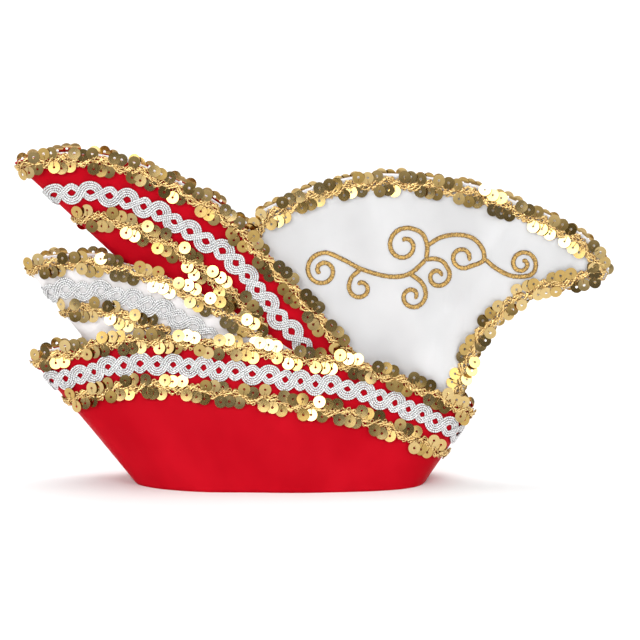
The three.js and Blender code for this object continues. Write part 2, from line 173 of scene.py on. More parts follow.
# Each wing from its prow fold to its hidden end: x, z and half depth of the top edge, then of the lower
MIDDLE_WING_STATIONS = np.array([
    (-120, 90.6, 0, -88, 50, 0),
    (-117.5, 92.6, 2.6, -85.5, 50, 3.2),
    (-103.8, 94.6, 4.4, -78, 51, 5.4),
    (-93.3, 94.7, 5.4, -71, 51, 6.7),
    (-85.6, 93.8, 6.1, -65, 51, 7.6),
    (-68.1, 89.6, 7.2, -54, 50.5, 8.9),
    (-53.3, 83.3, 8.1, -43, 49.5, 9.7),
    (-35, 73.3, 8.9, -29, 47.5, 10.2),
    (-22.5, 65, 9.4, -19, 45.5, 10.4),
    (-10, 56.7, 9.8, -9, 43.5, 10.5),
    (1, 49.5, 10, 1, 41.5, 10.5),
])
TOP_WING_STATIONS = np.array([
    (-123.3, 133.4, 0, -52, 66, 0),
    (-120.3, 134.6, 2.4, -50, 65, 3),
    (-106.3, 137.1, 3.4, -45.5, 63, 4.5),
    (-91.3, 136.8, 3.7, -40.5, 61, 5.3),
    (-74.2, 133.2, 4, -35, 58, 5.9),
    (-59.8, 126.9, 4.3, -29, 55, 6.4),
    (-42.3, 117.9, 4.7, -20, 51, 6.9),
    (-32.5, 110.2, 5, -14, 48.5, 7.1),
    (-24.2, 101.9, 5.4, -8, 46, 7.3),
    (-12.5, 89.2, 6, 1, 43, 7.6),
    (0.3, 74.9, 6.7, 9, 40.5, 7.8),
    (13.2, 59.7, 7.5, 18, 38, 8),
    (24.5, 45.7, 8, 27, 35.5, 8.2),
])

# The crest from its front edge to the tip: x and z of the ridge, x and z of the lower edge, the half
# depth at that edge, and how far each side bulges halfway between them
CREST_STATIONS = np.array([
    (-28.5, 102.2, -27, 47, 4.2, 0),
    (-23.5, 111.7, -22, 45.5, 4.4, 0),
    (-12.5, 117.7, -12, 43, 4.7, 0.1),
    (2.5, 124.1, 3, 39.5, 5.2, 0.4),
    (25.4, 128.4, 24, 35, 5.8, 0.8),
    (44.2, 127.5, 42, 29, 5.4, 1),
    (59.6, 125.1, 52, 24.5, 4, 1),
    (68.3, 123.3, 57.5, 23, RIDGE_HALF, 1),
    (76, 120.2, 60.6, 33.4, RIDGE_HALF, 1),
    (84.2, 116.7, 64.9, 45.4, RIDGE_HALF, 1),
    (91, 114, 68.8, 56, RIDGE_HALF, 1),
    (97, 111.4, 72.9, 62.4, RIDGE_HALF, 1),
    (102.5, 108.5, 79.2, 69.1, RIDGE_HALF, 1),
    (107.5, 105.6, 86, 75.3, RIDGE_HALF, 0.9),
    (112.5, 102.2, 94.8, 79.3, RIDGE_HALF, 0.8),
    (117.9, 97, 106.7, 82.1, RIDGE_HALF, 0.5),
    (121.3, 90.7, 115.9, 84.2, RIDGE_HALF, 0.2),
    (122, 87.7, 120.5, 84.9, RIDGE_HALF, 0.1),
])
CREST_LAST = len(CREST_STATIONS) - 1
CREST_STERN = 7  # the station where the open bottom of the crest ends and its sewn right edge begins
CREST_RIDGE = np.insert(CREST_STATIONS[:, 0:2], 1, 0, axis=1)
CREST_LOW = np.insert(CREST_STATIONS[:, 2:4], 1, 0, axis=1)

# Soft folds in the cloth of the crest: x and z of a place on each, the angle above level to which its
# right side looks, half its width and how far it stands out
CREST_FOLDS = (
    (12, 96, 20, 8, -1.4),
    (32, 96, 20, 8, 2.4),
    (48, 100, 20, 7, -1.4),
    (54, 62, -30, 7, 2.4),
    (76, 97, 15, 9, 1.2),
)

# Scrolls on the crest: x and z of the knots of a stem, then the volute that it runs into, as x and z of
# its middle, the radius at its end and its turns, which count anticlockwise
SCROLLS = (
    (
        ((46.4, 93.8), (39.7, 88.4), (31.7, 87.1), (19.7, 89.8), (12.4, 93.5), (5, 96.6)),
        (3.7, 89.2, 1.7, 1.41),
    ),
    (((19.4, 89.8), (15.8, 86.5), (14.8, 84.3)), (19.2, 81.9, 1.9, 0.93)),
    (((46.4, 93.8), (46.8, 99.4), (44.6, 104.6), (39.5, 106.9)), (37.3, 99.8, 2.4, 1.11)),
    (
        ((46.8, 99.4), (52.3, 102.9), (59.2, 104.1), (65.7, 102.6), (69.6, 98.2), (69.9, 93.8), (64.3, 91)),
        (61.4, 94.7, 2.6, -0.93),
    ),
    (((70.4, 94.4), (75.8, 90), (82.2, 87), (89.1, 87.2), (91.2, 88.9)), (86.1, 92.1, 1.2, 1.34)),
    (((46.4, 93.8), (50, 94), (53.3, 92.8), (55, 90.7)), (51.2, 86.8, 1.3, -1.13)),
    (((39.5, 88.4), (44.1, 84.9), (45.6, 82.6)), (40.6, 79.1, 1.2, -1.22)),
)

# Strands of the chain: how far each swings to either side, the length of a swing to and fro, the share
# of that length where it begins, its radius and the sides of its mesh
CHAIN_STRANDS = (
    (1.35, 10.8, 0, 0.46, 6),
    (1.35, 10.8, 0.5, 0.46, 6),
    (0.85, 7.4, 0.2, 0.46, 6),
    (0.5, 9.3, 0.7, 0.46, 6),
    (1.9, 5.2, 0.1, 0.3, 4),
    (1.9, 5.2, 0.6, 0.3, 4),
)

# Bundles of the gimp: how far each swings to either side, how far its arches bulge, and how far each
# of its cords lies from the middle of the bundle
GIMP_BUNDLES = (
    (3.2, 0.45, (-1.38, -0.46, 0.46, 1.38)),
    (-2.6, -0.35, (-0.86, 0, 0.86)),
)

# Slow waves that make the swings of the gimp uneven: share of the swing, waves in a swing, and start
GIMP_WAVES = ((0.05, 0.37, 0), (0.04, 0.83, 1))

# Trims on the body and wings: how far the middle line runs below the top edge at the prow and at the
# other end. For a braid the angles follow by which its sequins look up from the cloth, and by which the
# last of a group looks up more than the middle one. For a gimp the length of a full swing follows.
BRAIDS = (
    ("braid_body_upper", "body", 2, 1.9, 2.5, 1.5),
    ("braid_body_lower", "body", 20.6, 21.4, 2.5, 1.5),
    ("braid_middle_upper", "wing_middle", 2.4, 1.8, 7, -4),
    ("braid_middle_lower", "wing_middle", 22.6, 22.4, 7, -4),
    ("braid_top_upper", "wing_top", 2, 2.4, 6, -4),
    ("braid_top_lower", "wing_top", 27, 32, 7, -4),
)
GIMPS = (
    ("gimp_body", "body", 11.8, 10.9, 13.5),
    ("gimp_middle", "wing_middle", 13.8, 13.4, 14),
    ("gimp_top", "wing_top", 16.4, 14, 15),
)
CREST_BRAID_SEED = 21  # the braids above are seeded by their order
SCROLL_SEED = 30

# Lights: place, the point that each looks at, size, watts and the degrees by which its beam opens
MIDDLE = (0, 0, 0.07)
LIGHTS = {
    "key_light": ((-0.55, -1.25, 0.72), MIDDLE, (1.5, 0.8), 1.6, 70),
    "key_core_light": ((-0.54, -1.23, 0.71), MIDDLE, (0.8, 0.45), 0.7, 70),
    "fill_light": ((1.0, -0.9, 0.8), MIDDLE, (0.8, 1.1), 1.25, 70),
    "top_light": ((0, 0.25, 1.3), MIDDLE, (1.2, 0.8), 3.8, 140),
    "backdrop_light": ((0, 0.3, 1.6), (0, 1.3, 0.4), (1.8, 0.5), 13, 140),
}


def unit(vectors):
    return vectors / np.linalg.norm(vectors, axis=-1, keepdims=True)


def square_to(axis, vectors):
    """Unit vectors square to an axis, turned as little as can be."""
    return unit(vectors - axis * np.sum(vectors * axis, axis=-1, keepdims=True))


def ring_angles(sides):
    return np.arange(sides) * FULL_TURN / sides


def table_at(place, places, rows):
    """Rows of a table read between its entries."""
    return np.stack([np.interp(place, places, column) for column in rows.T], axis=-1)


def lengths_along(points):
    steps = np.linalg.norm(np.diff(points, axis=0), axis=1)
    return np.concatenate([[0], np.cumsum(steps)])


def respaced(points, step):
    """The same line with its points about one step apart."""
    along = lengths_along(points)
    count = max(2, round(along[-1] / step) + 1)
    return table_at(np.linspace(0, along[-1], count), along, points)


def spline(points, station, closed=False):
    """Points of a centripetal curve at stations, which count the given points from 0."""
    count = len(points)
    if closed:
        spans = count
        station = np.mod(station, count)
        longer = points[np.arange(-1, count + 2) % count]
    else:
        spans = count - 1
        station = np.clip(station, 0, spans)
        longer = np.vstack([2 * points[0] - points[1], points, 2 * points[-1] - points[-2]])
    first = np.minimum(np.floor(station).astype(int), spans - 1)
    share = (station - first)[..., None]
    before, start, end, after = (longer[first + i] for i in range(4))
    steps = (start - before, end - start, after - end)
    gaps = (np.sqrt(np.linalg.norm(step, axis=-1, keepdims=True)) for step in steps)
    step_1, step_2, step_3 = steps
    gap_1, gap_2, gap_3 = gaps
    slope_1 = (step_1 / gap_1 - (end - before) / (gap_1 + gap_2) + step_2 / gap_2) * gap_2
    slope_2 = (step_2 / gap_2 - (after - start) / (gap_2 + gap_3) + step_3 / gap_3) * gap_2
    square = 3 * step_2 - 2 * slope_1 - slope_2
    cube = slope_1 + slope_2 - 2 * step_2
    return start + slope_1 * share + square * share**2 + cube * share**3


class Sheet:
    """A ruled sheet between a lower and a top edge, with stations counted from the prow."""

    def __init__(self, top, low, closed, ripple):
        self.last = len(top) - 1
        self.closed = closed
        self.ripple = ripple
        self.top_points = self.both_sides(top)
        self.low_points = self.both_sides(low)

    def both_sides(self, near):
        far = near * MIRROR
        if self.closed:
            return np.vstack([near, far[1:-1][::-1]])
        return np.vstack([far[1:][::-1], near])

    def edge(self, points, station):
        if self.closed:
            return spline(points, station, closed=True)
        return spline(points, np.clip(station, -self.last, self.last) + self.last)

    def top(self, station):
        return self.edge(self.top_points, station)

    def low(self, station):
        return self.edge(self.low_points, station)

    def height(self, station):
        return np.linalg.norm(self.top(station) - self.low(station), axis=-1)

    def ruling(self, station, share):
        low = self.low(station)
        return low + (self.top(station) - low) * share[..., None]

    def face(self, station, share, out):
        """Points of the outer face, moved level and outwards."""
        step = 0.02
        along = self.ruling(station + step, share) - self.ruling(station - step, share)
        outward = unit(np.stack([along[..., 1], -along[..., 0], 0 * along[..., 0]], axis=-1))
        fade = np.interp(share, RIPPLE_FADE, (1, 0))
        wave = self.ripple * np.sin(RIPPLE_ALONG * station + RIPPLE_UP * share) * fade
        return self.ruling(station, share) + outward * (out + wave)[..., None]

    def share_below(self, station, distance):
        """The height share that lies a distance below the top edge, square to that edge."""
        fold = 1.2
        step = 1
        flattest = self.last - fold if self.closed else self.last - step
        steady = np.clip(np.abs(station), fold, flattest)
        along = unit((self.top(steady + step) - self.top(steady - step)) * (1, 0, 1))
        rise = self.top(station) - self.low(station)
        across = np.abs(along[..., 0] * rise[..., 2] - along[..., 2] * rise[..., 0])
        return 1 - distance / across


def rim_half(x):
    middle = (RIM_PROW_X + RIM_STERN_X) / 2
    reach = (RIM_STERN_X - RIM_PROW_X) / 2
    along = np.minimum(1, np.abs(x - middle) / reach)
    return RIM_HALF * (1 - along**RIM_ROUNDNESS) ** (1 / RIM_ROUNDNESS)


def body_sheet():
    top_x, top_z, top_half = BODY_STATIONS.T
    share = (top_x - top_x[0]) / (top_x[-1] - top_x[0])
    low_x = RIM_PROW_X + (RIM_STERN_X - RIM_PROW_X) * share
    top = np.stack([top_x, -top_half, top_z], axis=1)
    low = np.stack([low_x, -rim_half(low_x), 0 * low_x], axis=1)
    return Sheet(top, low, closed=True, ripple=BODY_RIPPLE)


def wing_sheet(stations):
    top_x, top_z, top_half, low_x, low_z, low_half = stations.T
    top = np.stack([top_x, -top_half, top_z], axis=1)
    low = np.stack([low_x, -low_half, low_z], axis=1)
    return Sheet(top, low, closed=False, ripple=WING_RIPPLE)


SHEETS = {
    "body": body_sheet(),
    "wing_middle": wing_sheet(MIDDLE_WING_STATIONS),
    "wing_top": wing_sheet(TOP_WING_STATIONS),
}
COVERS = {
    "body": (),
    "wing_middle": (SHEETS["body"],),
    "wing_top": (SHEETS["body"], SHEETS["wing_middle"]),
    "crest": tuple(SHEETS.values()),
}


def crest_flat(station, share):
    """Points in the middle plane of the crest, a share of the way up from its lower edge."""
    low = spline(CREST_LOW, station)
    ridge = spline(CREST_RIDGE, station)
    return low + (ridge - low) * share[..., None]


def crest_half(station, share):
    """Half the thickness of the crest, with the soft folds of its cloth."""
    level = np.clip(share, 0, 1)
    table = table_at(station, np.arange(CREST_LAST + 1), CREST_STATIONS[:, 4:6])
    low_half, swell = np.moveaxis(table, -1, 0)
    hump = 4 * level * (1 - level)
    half = low_half + (RIDGE_HALF - low_half) * level + swell * hump
    x, _, z = np.moveaxis(crest_flat(station, level), -1, 0)
    for fold_x, fold_z, degrees, width, stand in CREST_FOLDS:
        turn = math.radians(degrees)
        away = (x - fold_x) * math.cos(turn) + (z - fold_z) * math.sin(turn)
        half = half + stand * hump * np.exp(-((away / width) ** 2))
    return half


def crest_place(points):
    """The station and height share of points on the side of the crest, found by halving."""
    halvings = 32

    def from_low(station):
        low = spline(CREST_LOW, station)
        return spline(CREST_RIDGE, station) - low, points - low

    left = np.zeros(len(points))
    right = np.full(len(points), float(CREST_LAST))
    for _ in range(halvings):
        station = (left + right) / 2
        up, away = from_low(station)
        beyond = up[:, 0] * away[:, 2] - up[:, 2] * away[:, 0] < 0
        left = np.where(beyond, station, left)
        right = np.where(beyond, right, station)
    up, away = from_low(left)
    share = (up[:, 0] * away[:, 0] + up[:, 2] * away[:, 2]) / (up[:, 0] ** 2 + up[:, 2] ** 2)
    return left, share


def crest_half_at(points):
    return crest_half(*crest_place(points))


class Track:
    """A line on a panel, with the directions along it, towards the panel's edge and out of the cloth."""

    def __init__(self, points, up):
        self.points = points
        self.places = lengths_along(points)
        self.length = self.places[-1]
        self.along = unit(np.gradient(points, axis=0))
        self.out = unit(np.cross(self.along, up))
        self.up = np.cross(self.out, self.along)

    def axes(self, place):
        directions = (self.along, self.up, self.out)
        return [unit(table_at(place, self.places, rows)) for rows in directions]

    def spot(self, place, up, out):
        """Points at places along the line, moved towards the edge and out of the cloth."""
        _, up_axis, out_axis = self.axes(place)
        line = table_at(place, self.places, self.points)
        return line + up_axis * np.expand_dims(up, -1) + out_axis * np.expand_dims(out, -1)

    def mirrored(self):
        """The same line on the other side of the hat, run the other way."""
        return Track((self.points * MIRROR)[::-1], (self.up * MIRROR)[::-1])


def covered(points, covers, margin):
    """True for points below the top edge of an outer panel, or less than a margin above it."""
    edge_points = 400
    hidden = np.zeros(len(points), bool)
    for sheet in covers:
        edge = sheet.top(np.linspace(0, sheet.last, edge_points))
        height = np.interp(points[:, 0], edge[:, 0], edge[:, 2], left=-math.inf, right=-math.inf)
        hidden |= points[:, 2] < height + margin
    return hidden


def longest_run(flags):
    """The slice of the longest run of true values."""
    edges = np.flatnonzero(np.diff(np.concatenate([[0], flags.astype(int), [0]])))
    starts, ends = edges[::2], edges[1::2]
    best = np.argmax(ends - starts)
    return slice(starts[best], ends[best])


def panel_track(panel, line, end_line, margin):
    """The part of a trim's middle line that no outer panel hides."""
    sheet = SHEETS[panel]
    station = np.linspace(-sheet.last, sheet.last, 2 * sheet.last * TRACK_POINTS)
    middle = line + (end_line - line) * np.abs(station) / sheet.last
    points = sheet.face(station, sheet.share_below(station, middle), 0 * station)
    higher = sheet.face(station, sheet.share_below(station, middle - 1), 0 * station)
    run = longest_run(~covered(points, COVERS[panel], margin))
    both = respaced(np.hstack([points, higher])[run], TRACK_STEP)
    return Track(both[:, :3], both[:, 3:] - both[:, :3])


def crest_track(margin):
    """The middle line of the braid on the near side of the crest: ridge, tip and right edge."""
    edge_points = 900
    edge_step = 0.5
    window = 13  # points over which the line is smoothed
    station = np.linspace(0, CREST_LAST, edge_points)
    ridge = spline(CREST_RIDGE, station)
    low = spline(CREST_LOW, station[station > CREST_STERN][::-1])
    edge = respaced(np.vstack([ridge, low]), edge_step)
    around = np.gradient(edge, axis=0)
    inwards = unit(np.stack([around[:, 2], 0 * around[:, 0], -around[:, 0]], axis=1))
    line = edge + inwards * CREST_BRAID_LINE
    padded = np.pad(line, ((window // 2, window // 2), (0, 0)), mode="edge")
    weights = np.ones(window) / window
    line = np.stack([np.convolve(column, weights, "valid") for column in padded.T], axis=1)
    line[:, 1] = -crest_half_at(line)
    line = respaced(line[longest_run(~covered(line, COVERS["crest"], margin))], TRACK_STEP)
    along = unit(np.gradient(line, axis=0))
    up = np.cross(np.broadcast_to((0, -1, 0), line.shape), along)
    return Track(line, up)


def lattice(rows, columns, close_rows=False, close_columns=False):
    """Faces of a lattice of points, and the lattice row and column of each face corner."""
    row = np.arange(rows if close_rows else rows - 1)
    column = np.arange(columns if close_columns else columns - 1)
    row, column = (part.ravel() for part in np.meshgrid(row, column, indexing="ij"))
    corner_rows = np.stack([row, row + 1, row + 1, row], axis=1)
    corner_columns = np.stack([column, column, column + 1, column + 1], axis=1)
    faces = (corner_rows % rows) * columns + corner_columns % columns
    return faces, corner_rows, corner_columns


def end_caps(rings, size, turn=0):
    """Faces that close both ends of a run of rings, from one side of the end ring to the other.

    The rings have an even size, and turn moves the faces round them by that many points.
    """
    half = np.arange(size // 2 - 1)
    start = np.stack([half, half + 1, size - 2 - half, size - 1 - half], axis=1)
    start = (start + turn) % size
    return np.vstack([start, (rings - 1) * size + start[:, ::-1]])


def capped(faces, places, caps, turned_over=False):
    """Faces and the places of their corners with end caps added, all turned over if asked."""
    faces = np.vstack([faces, caps])
    places = np.vstack([places, np.zeros((len(caps), 4, 2))])
    if turned_over:
        return faces[:, ::-1], places[:, ::-1]
    return faces, places


def scene_object(name, data):
    """A new object in the scene."""
    obj = bpy.data.objects.new(name, data)
    bpy.context.scene.collection.objects.link(obj)
    return obj


def mesh_object(name, points, faces, materials):
    """A new object with a smooth mesh."""
    mesh = bpy.data.meshes.new(name)
    mesh.from_pydata(points.tolist(), [], faces.tolist())
    mesh.polygons.foreach_set("use_smooth", np.ones(len(faces), bool))
    for material in materials:
        mesh.materials.append(material)
    return scene_object(name, mesh)


class Shape:
    """The mesh of one piece, gathered part by part."""

    def __init__(self):
        self.points = []
        self.faces = []
        self.places = []
        self.finishes = []
        self.shades = []
        self.count = 0

    def add(self, points, faces, places, finishes=0, shades=0.5):
        """places holds a texture place for each face corner, and finishes count the piece's materials."""
        self.points.append(points.reshape(-1, 3))
        self.faces.append(faces + self.count)
        self.places.append(places.reshape(-1, 2))
        self.finishes.append(np.broadcast_to(finishes, len(faces)))
        self.shades.append(np.broadcast_to(shades, len(self.points[-1])))
        self.count += len(self.points[-1])

    def tube(self, line, guide, radii, sides):
        """A cord along a line, with guide pointing to the side where its rings begin.

        radii is one radius, one for each ring, or one for each point of each ring.
        """
        along = unit(np.gradient(line, axis=0))
        first = square_to(along, guide)
        second = np.cross(first, along)
        angle = ring_angles(sides)[:, None]
        spread = first[:, None] * np.cos(angle) + second[:, None] * np.sin(angle)
        radii = np.asarray(radii, float)
        if radii.ndim == 1:
            radii = radii[:, None]
        points = line[:, None] + spread * np.broadcast_to(radii, spread.shape[:2])[..., None]
        faces, rows, columns = lattice(len(line), sides, close_columns=True)
        # the side that the guide points to lies halfway across the texture, where the yarn's painted crown
        # light falls; the far side takes painted shade
        places = np.stack([columns / sides + 0.5, lengths_along(line)[rows]], axis=-1)
        self.add(points, *capped(faces, places, end_caps(len(line), sides)))

    def area(self):
        """Surface in square metres."""
        points = np.vstack(self.points) * METRES
        corners = points[np.vstack(self.faces)]
        diagonals = np.cross(corners[:, 2] - corners[:, 0], corners[:, 3] - corners[:, 1])
        return float(np.linalg.norm(diagonals, axis=1).sum() / 2)

    def piece(self, name, nodes, slot, materials):
        """The finished object, which stands for CAD nodes and takes its finish from the given materials;
        slot is not used.
        """
        points = (np.vstack(self.points) + (MIDDLE_SHIFT, 0, 0)) * METRES
        obj = mesh_object(name, points, np.vstack(self.faces), materials)
        mesh = obj.data
        mesh.polygons.foreach_set("material_index", np.concatenate(self.finishes))
        layer = mesh.uv_layers.new(name="places")
        layer.data.foreach_set("uv", np.vstack(self.places).ravel())
        shade = mesh.attributes.new("shade", "FLOAT", "POINT")
        shade.data.foreach_set("value", np.concatenate(self.shades))
        mesh.update()
        mesh.validate()
        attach(obj, "root")
        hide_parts(*nodes)
        return obj


class Finish:
    """A material with one shader, and a short way to add nodes to it."""

    def __init__(self, name, values):
        self.material = bpy.data.materials.new(name)
        self.material.use_nodes = True
        self.tree = self.material.node_tree
        self.shader = self.tree.nodes["Principled BSDF"]
        for socket, value in values.items():
            self.shader.inputs[socket].default_value = value

    def add(self, kind, inputs, output=0, **settings):
        """An output of a new node, whose inputs are values or outputs of other nodes."""
        node = self.tree.nodes.new(kind)
        for setting, value in settings.items():
            setattr(node, setting, value)
        for socket, value in inputs.items():
            if isinstance(value, bpy.types.NodeSocket):
                self.tree.links.new(value, node.inputs[socket])
            else:
                node.inputs[socket].default_value = value
        return node.outputs[output]

    def drive(self, socket, output):
        self.tree.links.new(output, self.shader.inputs[socket])

    def places(self, scale):
        """Texture places in millimetres, times a scale for each direction."""
        raw = self.add("ShaderNodeUVMap", {}, uv_map="places")
        return self.add("ShaderNodeMapping", {"Vector": raw, "Scale": (*scale, 1)})

    def noise(self, scale, detail):
        inputs = {"Vector": self.places(scale), "Scale": 1, "Detail": detail}
        return self.add("ShaderNodeTexNoise", inputs)

    def stripes(self, scale, distortion=0):
        """Soft stripes, one to each unit of the sum of the scaled places, dark at whole numbers."""
        one_stripe = FULL_TURN / 10
        inputs = {"Vector": self.places(scale), "Scale": one_stripe, "Distortion": distortion}
        return self.add("ShaderNodeTexWave", inputs, bands_direction="DIAGONAL", wave_profile="SIN")

    def colour(self, factor, first, second):
        """Sets the base colour between two by a factor."""
        inputs = {"Fac": factor, "Color1": first, "Color2": second}
        self.drive("Base Color", self.add("ShaderNodeMixRGB", inputs))

    def sum(self, first, second):
        return self.add("ShaderNodeMath", {0: first, 1: second}, operation="ADD")

    def stretch(self, value, low, high):
        """The value with low moved to 0 and high to 1, and nothing past them."""
        return self.add("ShaderNodeMapRange", {"Value": value, "From Min": low, "From Max": high})

    def bump(self, height, strength, distance, below=None):
        """A normal bent by a height, in millimetres, on top of another normal."""
        inputs = {"Height": height, "Strength": strength, "Distance": distance * METRES}
        if below:
            inputs["Normal"] = below
        return self.add("ShaderNodeBump", inputs)


def satin(name, colour, painted_fold_shade_colour, roughness, gloss):
    """Smooth cloth: long floats across, fine warp lines, and soft random patches of darker colour, painted
    shade of soft folds and uneven sheen.
    """
    values = {
        "Roughness": roughness,
        "Specular IOR Level": gloss,
        "Sheen Weight": 0.08,
        "Sheen Roughness": 0.4,
        "Sheen Tint": colour,
    }
    finish = Finish(name, values)
    # painted shade: the colour darkens in soft random patches, standing in for the shade of soft folds and
    # uneven sheen
    tone = finish.stretch(finish.noise(scale=(0.04, 0.03), detail=2), low=0.35, high=0.65)
    finish.colour(tone, painted_fold_shade_colour, colour)
    slack = finish.noise(scale=(0.035, 0.02), detail=1)
    floats = finish.noise(scale=(0.5, 6), detail=1)
    warp = finish.stripes(scale=(3.2, 0))
    slubs = finish.noise(scale=(0.12, 1.4), detail=3)
    weave = finish.sum(finish.sum(floats, warp), slubs)
    loose = finish.bump(slack, strength=1, distance=2.2)
    finish.drive("Normal", finish.bump(weave, strength=0.4, distance=0.05, below=loose))
    return finish.material


def backing():
    """The plain woven white cloth inside the panels."""
    finish = Finish("backing", {"Roughness": 0.8, "Sheen Weight": 0.15})
    tone = finish.noise(scale=(0.2, 0.2), detail=3)
    finish.colour(tone, (0.74, 0.68, 0.69, 1), (0.83, 0.79, 0.79, 1))
    weave = finish.sum(finish.stripes(scale=(2.2, 0)), finish.stripes(scale=(0, 2.2)))
    finish.drive("Normal", finish.bump(weave, strength=0.3, distance=0.08))
    return finish.material


def sequin_film():
    """Metallised film with a slightly uneven face, in tints of gold between two."""
    values = {"Metallic": 1, "Roughness": 0.16, "Coat Weight": 0.4, "Coat Roughness": 0.15}
    finish = Finish("sequin_film", values)
    tint = finish.add("ShaderNodeAttribute", {}, "Fac", attribute_name="shade")
    finish.colour(tint, (0.53, 0.34, 0.09, 1), (0.71, 0.52, 0.225, 1))
    dents = finish.noise(scale=(0.3, 0.3), detail=1)
    finish.drive("Normal", finish.bump(dents, strength=0.03, distance=0.06))
    return finish.material


def lurex(name, dark, light, tones, lines, grain, metal, roughness):
    """Metallic yarn whose fine threads wind round it, with grains of random tone. Its colour is painted
    light on its crown and painted shade on its sides, its underside and in the grooves of the winding.

    tones holds the sums of painted side shade, line and grain at which the yarn is all dark and all light.
    """
    finish = Finish(name, {"Metallic": metal, "Roughness": roughness})
    grains = finish.stretch(finish.noise(scale=grain, detail=1), low=0.38, high=0.62)
    height = finish.sum(finish.stripes(lines, distortion=0.4), grains)
    # painted light and shade: lighter on the crown of each cord, darker on its sides and underside
    painted_side_shade = finish.stripes(scale=(1, 0))
    # the colour also follows the height, so the grooves of the winding get painted shade; the grains are
    # random tone
    grain_and_painted_shade = finish.stretch(finish.sum(height, painted_side_shade), *tones)
    finish.colour(grain_and_painted_shade, dark, light)
    finish.drive("Normal", finish.bump(height, strength=0.6, distance=0.12))
    return finish.material


def paper():
    """The pale paper of the floor, with a faint grain."""
    finish = Finish("paper", {"Roughness": 0.9})
    raw = finish.add("ShaderNodeTexCoord", {}, "Generated")
    grain = finish.add("ShaderNodeTexNoise", {"Vector": raw, "Scale": 40, "Detail": 2})
    finish.colour(grain, (0.92, 0.92, 0.92, 1), (0.95, 0.95, 0.95, 1))
    return finish.material


RED_SATIN = satin(
    "red_satin_cloth", (0.58, 0.003, 0.013, 1), (0.5, 0.001, 0.009, 1), roughness=0.42, gloss=0.04
)
WARM_SATIN = satin(
    "warm_white_satin_cloth", (0.98, 0.95, 0.95, 1), (0.91, 0.88, 0.88, 1), roughness=0.36, gloss=0.4
)
WHITE_SATIN = satin(
    "white_satin_cloth", (0.78, 0.78, 0.785, 1), (0.69, 0.69, 0.695, 1), roughness=0.3, gloss=0.8
)
BACKING = backing()
SEQUIN_FILM = sequin_film()
GOLD_LUREX = lurex(
    "gold_lurex",
    dark=(0.24, 0.08, 0.01, 1),
    light=(1, 0.72, 0.3, 1),
    tones=(1.2, 1.95),
    lines=(2, 2 / STRAND_TWIST),
    grain=(1.2, 0.55),
    metal=0.7,
    roughness=0.2,
)
SILVER_LUREX = lurex(
    "silver_lurex",
    dark=(0.04, 0.04, 0.045, 1),
    light=(1, 1, 1, 1),
    tones=(0.7, 2.1),
    lines=(1, 1 / CORD_BEAD),
    grain=(4, 1.6),
    metal=0.1,
    roughness=0.3,
)
GOLD_THREAD = lurex(
    "gold_stitches",
    dark=(0.1, 0.04, 0.005, 1),
    light=(0.88, 0.55, 0.15, 1),
    tones=(1, 2.5),
    lines=(0.8, 1 / STITCH),
    grain=(2.6, 1.5),
    metal=0.2,
    roughness=0.35,
)


def panel_shape(sheet, rows, hem):
    """A cloth panel: satin outside, backing inside and a rounded cut edge along the top."""
    rising = np.linspace(0, 1, rows)
    level = np.zeros(rows)
    share = np.concatenate([rising, np.ones(len(EDGE_BENDS)), rising[::-1]])
    rise = np.concatenate([level, EDGE_RISE * np.sin(EDGE_BENDS), level])
    out = np.concatenate([level, (np.cos(EDGE_BENDS) - 1) * WALL / 2, level - WALL])
    station = np.linspace(-sheet.last, sheet.last, 2 * sheet.last * PANEL_STEPS + 1)
    along = lengths_along(sheet.ruling(station, np.full(len(station), 0.5)))
    if sheet.closed:
        station = station[:-1]  # its last column is the first one again
    height = sheet.height(station)
    station_grid, share_grid = np.meshgrid(station, share, indexing="ij")
    share_grid = share_grid + rise / height[:, None]
    points = sheet.face(station_grid, share_grid, np.broadcast_to(out, station_grid.shape))
    faces, corner_rows, corner_columns = lattice(len(station), len(share), sheet.closed, True)
    upward = np.append(share * height.max() + rise, 0)
    places = np.stack([along[corner_rows], upward[corner_columns]], axis=-1)
    column = corner_columns[:, 0]
    past_first_bend = column > rows
    turned_in = share[column] * height.max() <= hem
    finishes = (past_first_bend & ~turned_in).astype(int)
    if not sheet.closed:
        caps = end_caps(len(station), len(share))
        faces, places = capped(faces, places, caps)
        finishes = np.append(finishes, np.ones(len(caps), int))
    shape = Shape()
    shape.add(points, faces, places, finishes)
    return shape


